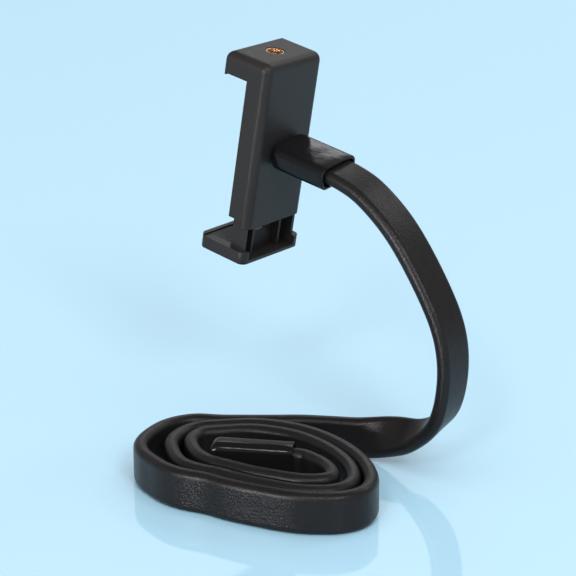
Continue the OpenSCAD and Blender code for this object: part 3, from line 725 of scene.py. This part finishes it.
def round_over(bm):
    """Cuts rows into the body's outer edges and pulls their points onto a round-cornered box."""
    half = CLAMP_W / 2
    for axis, edge, side in ((0, -half, -1), (0, half, 1), (1, CLAMP_D, 1), (2, BODY_TOP, 1)):
        for angle in range(0, 90, CUT_ANGLE):
            at, normal = Vector((0, 0, 0)), Vector((0, 0, 0))
            at[axis] = edge - side * SHELL_ROUND * (1 - sind(angle))
            normal[axis] = side
            bmesh.ops.bisect_plane(bm, geom=bm.verts[:] + bm.edges[:] + bm.faces[:], dist=NEAR,
                                   plane_co=at, plane_no=normal)
    inner = half - SHELL_ROUND
    for v in bm.verts:
        core = Vector((min(max(v.co.x, -inner), inner), min(v.co.y, CLAMP_D - SHELL_ROUND),
                       min(v.co.z, BODY_TOP - SHELL_ROUND)))
        away = v.co - core
        if away.length > SHELL_ROUND:
            v.co = core + away * (SHELL_ROUND / away.length)
    bmesh.ops.dissolve_degenerate(bm, edges=bm.edges[:], dist=NEAR)


def clamp_shell():
    """The clamp's body with its outer edges rounded over further than the solid's."""
    bm = bmesh.new()
    bm.from_mesh(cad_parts["clamp_body"].data)
    to_head = Matrix(np.linalg.inv(HEAD).tolist()) @ Matrix.Scale(1 / MM, 4)
    bmesh.ops.transform(bm, matrix=to_head, verts=bm.verts)
    bmesh.ops.remove_doubles(bm, verts=bm.verts, dist=NEAR)
    round_over(bm)
    bmesh.ops.transform(bm, matrix=to_head.inverted(), verts=bm.verts)
    me = bpy.data.meshes.new("clamp_shell")
    bm.to_mesh(me)
    bm.free()
    me.polygons.foreach_set("use_smooth", [True] * len(me.polygons))
    piece = dress(collection_link(bpy.data.objects.new("clamp_shell", me)), "clamp_plastic")
    soft_edges(piece, SHELL_EDGE)
    flats = piece.modifiers.new("flats", "WEIGHTED_NORMAL")
    flats.mode = "FACE_AREA"
    flats.weight = 100
    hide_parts("clamp_body")
    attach(piece, "clamp")


def cad_nodes():
    """The CAD nodes that show as they are, with a material and soft edges."""
    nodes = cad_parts
    soft_edges(dress(nodes["lower_jaw"], "clamp_plastic"), JAW_EDGE)
    for name in ("head_stud", "spring_pin"):
        soft_edges(dress(nodes[name], "steel"), STEEL_EDGE)
    soft_edges(dress(nodes["back_insert"], "brass"), BUSH_EDGE)


THREAD_PITCH, THREAD_DEPTH, THREAD_ROW, THREAD_FADE_ROWS = 0.8, 0.5, 0.08, 8
# How much wider than the bore the thread's middle is, and where the thread starts and ends
THREAD_OUT, THREAD_START, THREAD_REST = 0.25, 0.5, 0.7
INSERT_SIDES = 72
# The insert's outline at its bottom and top, inwards from its outside and outwards from its bore
BOTTOM_CHAMFER, TOP_SHOULDER, TOP_CHAMFER, FACE_IN = 0.2, 0.35, 0.1, 0.35
FACE_OUT, MOUTH_OUT, MOUTH_DOWN = 0.62, 0.5, 0.08


def thread_offset(z, a):
    """How far a thread's flank stands from its middle, at height z and angle a in degrees."""
    f = (z / THREAD_PITCH - a / 360) % 1
    return THREAD_DEPTH * (abs(2 * f - 1) - 0.5)


def top_insert_piece():
    """The brass insert: a chamfered ring with a real thread inside."""
    top = BODY_TOP - INSERT_SUNK
    low = BODY_TOP - (TOP_JAW_H - PAD_T - INSERT_FLOOR)
    outer, bore = INSERT_D / 2, TRIPOD_BORE_D / 2
    angles = 360 * np.arange(INSERT_SIDES) / INSERT_SIDES
    outline = (
        (bore + THREAD_OUT, low), (outer - BOTTOM_CHAMFER, low), (outer, low + BOTTOM_CHAMFER),
        (outer, top - TOP_SHOULDER), (outer - TOP_CHAMFER, top - TOP_CHAMFER),
        (outer - FACE_IN, top), (bore + FACE_OUT, top), (bore + MOUTH_OUT, top - MOUTH_DOWN))
    rings = [[(r * cosd(a), r * sind(a), z) for a in angles] for r, z in outline]
    for i in range(int((top - low - THREAD_REST) / THREAD_ROW)):
        z = top - THREAD_START - THREAD_ROW * i
        fade = min(1, i / THREAD_FADE_ROWS)
        radii = [bore + THREAD_OUT + fade * thread_offset(z, a) for a in angles]
        rings.append([(r * cosd(a), r * sind(a), z) for r, a in zip(radii, angles)])
    centre = np.eye(4)
    centre[1, 3] = (CLAMP_D - JAW_REACH) / 2
    rings.append(rings[0])
    rings = [in_frame(ring, HEAD @ centre) for ring in rings]
    piece = dress(grid_piece("top_insert_thread", rings, THREAD_SMOOTH, False), "brass")
    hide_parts("top_insert")
    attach(piece, "clamp")


SPRING_STEPS, SPRING_SIDES = 24, 8
# Angles at which a hook starts and ends and between its points, in degrees
HOOK_START, HOOK_END, HOOK_STEP = -60, 180, 15


def spring_path():
    """The wire's middle line: a hook round the pin, the turns, and a hook round the jaw's bar."""
    hook = PIN_D / 2 + SLIDE_CLEAR + SPRING_WIRE_D / 2
    peg_hook = PEG_D / 2 + SLIDE_CLEAR + SPRING_WIRE_D / 2
    mean = (SPRING_D - SPRING_WIRE_D) / 2
    high = PIN_Z - 2 * hook - SPRING_WIRE_D
    low = PEG_Z + 2 * peg_hook + SPRING_WIRE_D
    count = SPRING_TURNS * SPRING_STEPS
    path = [(0, SPRING_Y + hook * cosd(a + 90), PIN_Z + hook * sind(a + 90))
            for a in range(HOOK_START, HOOK_END + 1, HOOK_STEP)]
    for i in range(count + 1):
        a = 360 * i / SPRING_STEPS
        path.append((mean * sind(a), SPRING_Y + mean * cosd(a), high + (low - high) * (i / count)))
    path += [(0, SPRING_Y + peg_hook * cosd(a + 90), PEG_Z - peg_hook * sind(a + 90))
             for a in range(HOOK_END, HOOK_START - 1, -HOOK_STEP)]
    return np.array(path)


# A direction across which the first ring of a wire is laid out
ASKEW = (0.3, 0.5, 0.8)


def tube(name, path, radius, sides):
    """A round wire along a path in millimetres, with its rings carried along without twist."""
    t = np.gradient(path, axis=0)
    t /= np.linalg.norm(t, axis=1)[:, None]
    side = unit(np.cross(t[0], ASKEW))
    rings = []
    for p, d in zip(path, t):
        side = unit(side - (side @ d) * d)
        other = np.cross(d, side)
        rings.append([p + radius * (cosd(360 * k / sides) * side + sind(360 * k / sides) * other)
                      for k in range(sides)])
    return grid_piece(name, rings, TUBE_SMOOTH)


def spring_piece():
    """The tension spring, which stretches between the clamp's pin and the jaw's bar."""
    path = in_frame(spring_path(), HEAD)
    piece = dress(tube("jaw_spring_wire", path, SPRING_WIRE_D / 2, SPRING_SIDES), "steel")
    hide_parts("jaw_spring")
    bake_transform(piece)


PAD_RIB_PITCH, PAD_RIB_DEPTH, PAD_RIB_STEPS = 1.6, 0.35, 8
# The pad's chamfer, its smooth border at least, and how far its back stays off its seat
PAD_CHAMFER, PAD_BORDER, PAD_SEAT = 0.25, 0.8, 0.02


def pad_outline(length, thick):
    """A pad's side outline from its ribbed face to its back, as places along and depths."""
    count = int((length - 2 * PAD_BORDER) / PAD_RIB_PITCH)
    border = (length - count * PAD_RIB_PITCH) / 2
    line = [(0, PAD_CHAMFER), (PAD_CHAMFER, 0)]
    for i in range(count * PAD_RIB_STEPS + 1):
        line.append((border + PAD_RIB_PITCH * i / PAD_RIB_STEPS,
                     PAD_RIB_DEPTH * (0.5 - 0.5 * cosd(360 * i / PAD_RIB_STEPS))))
    back = thick - PAD_SEAT
    return line + [(length - PAD_CHAMFER, 0), (length, PAD_CHAMFER), (length, back), (0, back)]


def pad_piece(name, node, low, high, face, body):
    """A rubber pad with fine ribs along X on one face: "front", "down" or "up"."""
    low, high = np.array(low, float), np.array(high, float)
    length, thick = (high - low)[[2, 1]] if face == "front" else (high - low)[[1, 2]]
    place = {
        "front": lambda s, d: (low[1] + d, low[2] + s),
        "down": lambda s, d: (low[1] + s, low[2] + d),
        "up": lambda s, d: (high[1] - s, high[2] - d)}[face]
    rings = []
    for x, inset in ((low[0], PAD_CHAMFER), (low[0] + PAD_CHAMFER, 0),
                     (high[0] - PAD_CHAMFER, 0), (high[0], PAD_CHAMFER)):
        ring = [(x, *place(min(max(s, inset), length - inset), max(d, inset)))
                for s, d in pad_outline(length, thick)]
        rings.append(in_frame(ring, HEAD))
    piece = dress(grid_piece(name, rings, SMOOTH_UNDER), "pad_rubber")
    fix_normals(piece)
    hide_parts(node)
    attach(piece, body)


def fix_normals(ob):
    """Turns all faces of a closed piece outwards."""
    bm = bmesh.new()
    bm.from_mesh(ob.data)
    bmesh.ops.recalc_face_normals(bm, faces=bm.faces)
    bm.to_mesh(ob.data)
    bm.free()


def pad_pieces():
    """The pads under the top jaw, on the clamp's front and on the lower jaw."""
    side = CLAMP_W / 2 - PAD_INSET
    front = -JAW_REACH + LIP_T + PAD_GAP
    half = MOUTH_H / 2
    pad_piece("top_pad_ribbed", "top_jaw_pad", (-side, front, half), (side, PAD_BACK, half + PAD_T),
              "down", "clamp")
    pad_piece("rest_pad_ribbed", "rest_pad", (-side, 0, -BODY_DROP + PAD_INSET),
              (side, REST_PAD_T, half - 2 * PAD_INSET), "front", "clamp")
    pad_piece("lower_pad_ribbed", "lower_jaw_pad", (-side, front, -half - PAD_T),
              (side, PAD_BACK, -half), "up", "jaw")


# Floor, light and camera

BACKDROP, BACKDROP_LEVEL = (0.79, 0.8, 0.83, 1.0), 0.5
AIR = (1.0, 0.99, 0.985, 1)
AIR_LEVEL, OVERHEAD_LEVEL = 0.46, 0.1
# The backdrop stands in this direction. Each pair says where a direction starts to count and
# where it counts in full, as the cosine of its angle from BEHIND, from DOWN or from UP.
BEHIND, DOWN, UP = (-0.772, -0.636, 0.0), (0, 0, -1), (0, 0, 1)
BEHIND_SPAN, DOWN_SPAN, UP_SPAN = (0.1, 0.5), (-0.56, -0.44), (0.6, 0.85)
FLOOR_HALF, FLOOR_COLOUR, FLOOR_ROUGHNESS = 6.0, (0.338, 0.538, 0.656), 0.06
# The floor mirrors this much seen from above and from the side, between two facing values
GLOSS_LOW, GLOSS_HIGH, GLOSS_SPAN = 0.03, 0.33, (0.34, 0.53)


def smooth_share(tree, value, span, ends=(0, 1)):
    """Maps a value smoothly from a span onto two ends."""
    share = tree.nodes.new("ShaderNodeMapRange")
    share.interpolation_type = "SMOOTHSTEP"
    for key, number in zip(("From Min", "From Max", "To Min", "To Max"), (*span, *ends)):
        share.inputs[key].default_value = number
    tree.links.new(value, share.inputs["Value"])
    return share.outputs["Result"]


def floor_material():
    """Pale blue polished acrylic, which mirrors more at low angles."""
    mat = bpy.data.materials.new("floor")
    mat.use_nodes = True
    tree = mat.node_tree
    tree.nodes.clear()
    out = tree.nodes.new("ShaderNodeOutputMaterial")
    diffuse = tree.nodes.new("ShaderNodeBsdfDiffuse")
    diffuse.inputs["Color"].default_value = (*FLOOR_COLOUR, 1)
    gloss = tree.nodes.new("ShaderNodeBsdfGlossy")
    gloss.inputs["Roughness"].default_value = FLOOR_ROUGHNESS
    facing = tree.nodes.new("ShaderNodeLayerWeight").outputs["Facing"]
    amount = smooth_share(tree, facing, GLOSS_SPAN, (GLOSS_LOW, GLOSS_HIGH))
    tree.links.new(amount, gloss.inputs["Color"])
    both = tree.nodes.new("ShaderNodeAddShader")
    tree.links.new(diffuse.outputs[0], both.inputs[0])
    tree.links.new(gloss.outputs[0], both.inputs[1])
    tree.links.new(both.outputs[0], out.inputs["Surface"])
    return mat


def make_floor():
    """A plain floor under the stand."""
    me = bpy.data.meshes.new("floor")
    corners = [(FLOOR_HALF * x, FLOOR_HALF * y, 0) for x, y in ((-1, -1), (1, -1), (1, 1), (-1, 1))]
    me.from_pydata(corners, [], [(0, 1, 2, 3)])
    me.materials.append(floor_material())
    collection_link(bpy.data.objects.new("floor", me))


def direction_share(tree, direction, axis, span, ends=(0, 1)):
    """How far a world direction lies along an axis, mapped smoothly from a span onto two ends."""
    dot = tree.nodes.new("ShaderNodeVectorMath")
    dot.operation = "DOT_PRODUCT"
    dot.inputs[1].default_value = axis
    tree.links.new(direction, dot.inputs[0])
    return smooth_share(tree, dot.outputs["Value"], span, ends)


def make_world():
    """A plain studio: neutral and dark overhead, with a pale backdrop behind the stand."""
    world = bpy.data.worlds.new("studio")
    bpy.context.scene.world = world
    world.use_nodes = True
    tree = world.node_tree
    tree.nodes.clear()
    out = tree.nodes.new("ShaderNodeOutputWorld")
    plain = tree.nodes.new("ShaderNodeBackground")
    plain.inputs["Color"].default_value = AIR
    backdrop = tree.nodes.new("ShaderNodeBackground")
    backdrop.inputs["Color"].default_value = BACKDROP
    backdrop.inputs["Strength"].default_value = BACKDROP_LEVEL
    direction = tree.nodes.new("ShaderNodeTexCoord").outputs["Generated"]
    behind = direction_share(tree, direction, BEHIND, BEHIND_SPAN)
    low = direction_share(tree, direction, DOWN, DOWN_SPAN)
    level = direction_share(tree, direction, UP, UP_SPAN, (AIR_LEVEL, OVERHEAD_LEVEL))
    tree.links.new(level, plain.inputs["Strength"])
    both = tree.nodes.new("ShaderNodeMath")
    both.operation = "MULTIPLY"
    tree.links.new(behind, both.inputs[0])
    tree.links.new(low, both.inputs[1])
    mix = tree.nodes.new("ShaderNodeMixShader")
    tree.links.new(both.outputs[0], mix.inputs[0])
    tree.links.new(plain.outputs[0], mix.inputs[1])
    tree.links.new(backdrop.outputs[0], mix.inputs[2])
    tree.links.new(mix.outputs[0], out.inputs["Surface"])


# The place that the lamps point at, in metres
AIM = np.array([-0.03, 0.0, 0.08])
SOFT_WHITE = (0.9, 0.95, 1.0)


def toward(azimuth, elevation):
    """The direction of a lamp seen from the stand, in degrees from +X and from the floor."""
    return np.array([cosd(azimuth) * cosd(elevation), sind(azimuth) * cosd(elevation),
                     sind(elevation)])


def lamp(name, kind, azimuth, elevation, distance, power):
    """A lamp that points at the stand; only a sun takes no notice of its distance."""
    data = bpy.data.lights.new(name, kind)
    data.energy = power
    ob = collection_link(bpy.data.objects.new(name, data))
    ob.location = AIM + distance * toward(azimuth, elevation)
    ob.rotation_euler = Vector(-toward(azimuth, elevation)).to_track_quat("-Z", "Y").to_euler()
    return ob


def soft_box(name, azimuth, elevation, distance, size, power):
    """A rectangular soft box, with its width and height in metres and its power in watts."""
    ob = lamp(name, "AREA", azimuth, elevation, distance, power)
    ob.data.shape = "RECTANGLE"
    ob.data.size, ob.data.size_y = size
    ob.data.color = SOFT_WHITE
    return ob


CEILING_SPREAD = 75


def make_light():
    """The room's light and five soft boxes. The low one only shines in what mirrors it."""
    make_world()
    ceiling = lamp("ceiling", "SUN", azimuth=50, elevation=78, distance=2.0, power=2.05)
    ceiling.data.angle = np.radians(CEILING_SPREAD)
    ceiling.visible_glossy = False
    soft_box("key", azimuth=62, elevation=36, distance=2.6, size=(0.7, 0.7), power=26)
    soft_box("fill", azimuth=22, elevation=38, distance=2.6, size=(0.45, 0.45), power=14)
    low = soft_box("low", azimuth=-4, elevation=9, distance=2.2, size=(0.85, 0.35), power=40)
    low.visible_diffuse = False
    soft_box("back", azimuth=213, elevation=35, distance=3.0, size=(1.5, 0.5), power=8)
    soft_box("side", azimuth=168, elevation=42, distance=2.6, size=(0.8, 0.8), power=9)


CAMERA_PLACE = (0.60787, 0.51191, 0.35925)
CAMERA_HEADING = (-0.72954, -0.60149, -0.32556)
CAMERA_LENS, SENSOR = 136.94, 36.0
CLIP_START, CLIP_END = 0.01, 50


def make_camera():
    """The photo's camera, as solved from the phone's outline."""
    data = bpy.data.cameras.new("photo_camera")
    data.lens, data.sensor_width = CAMERA_LENS, SENSOR
    data.clip_start, data.clip_end = CLIP_START, CLIP_END
    ob = collection_link(bpy.data.objects.new("photo_camera", data))
    ob.location = CAMERA_PLACE
    ob.rotation_euler = Vector(CAMERA_HEADING).to_track_quat("-Z", "Y").to_euler()
    bpy.context.scene.camera = ob


strip_pieces()
sleeve_pieces()
clamp_shell()
cad_nodes()
top_insert_piece()
spring_piece()
pad_pieces()
make_floor()
make_light()
make_camera()
bpy.context.scene.view_settings.view_transform = "Standard"
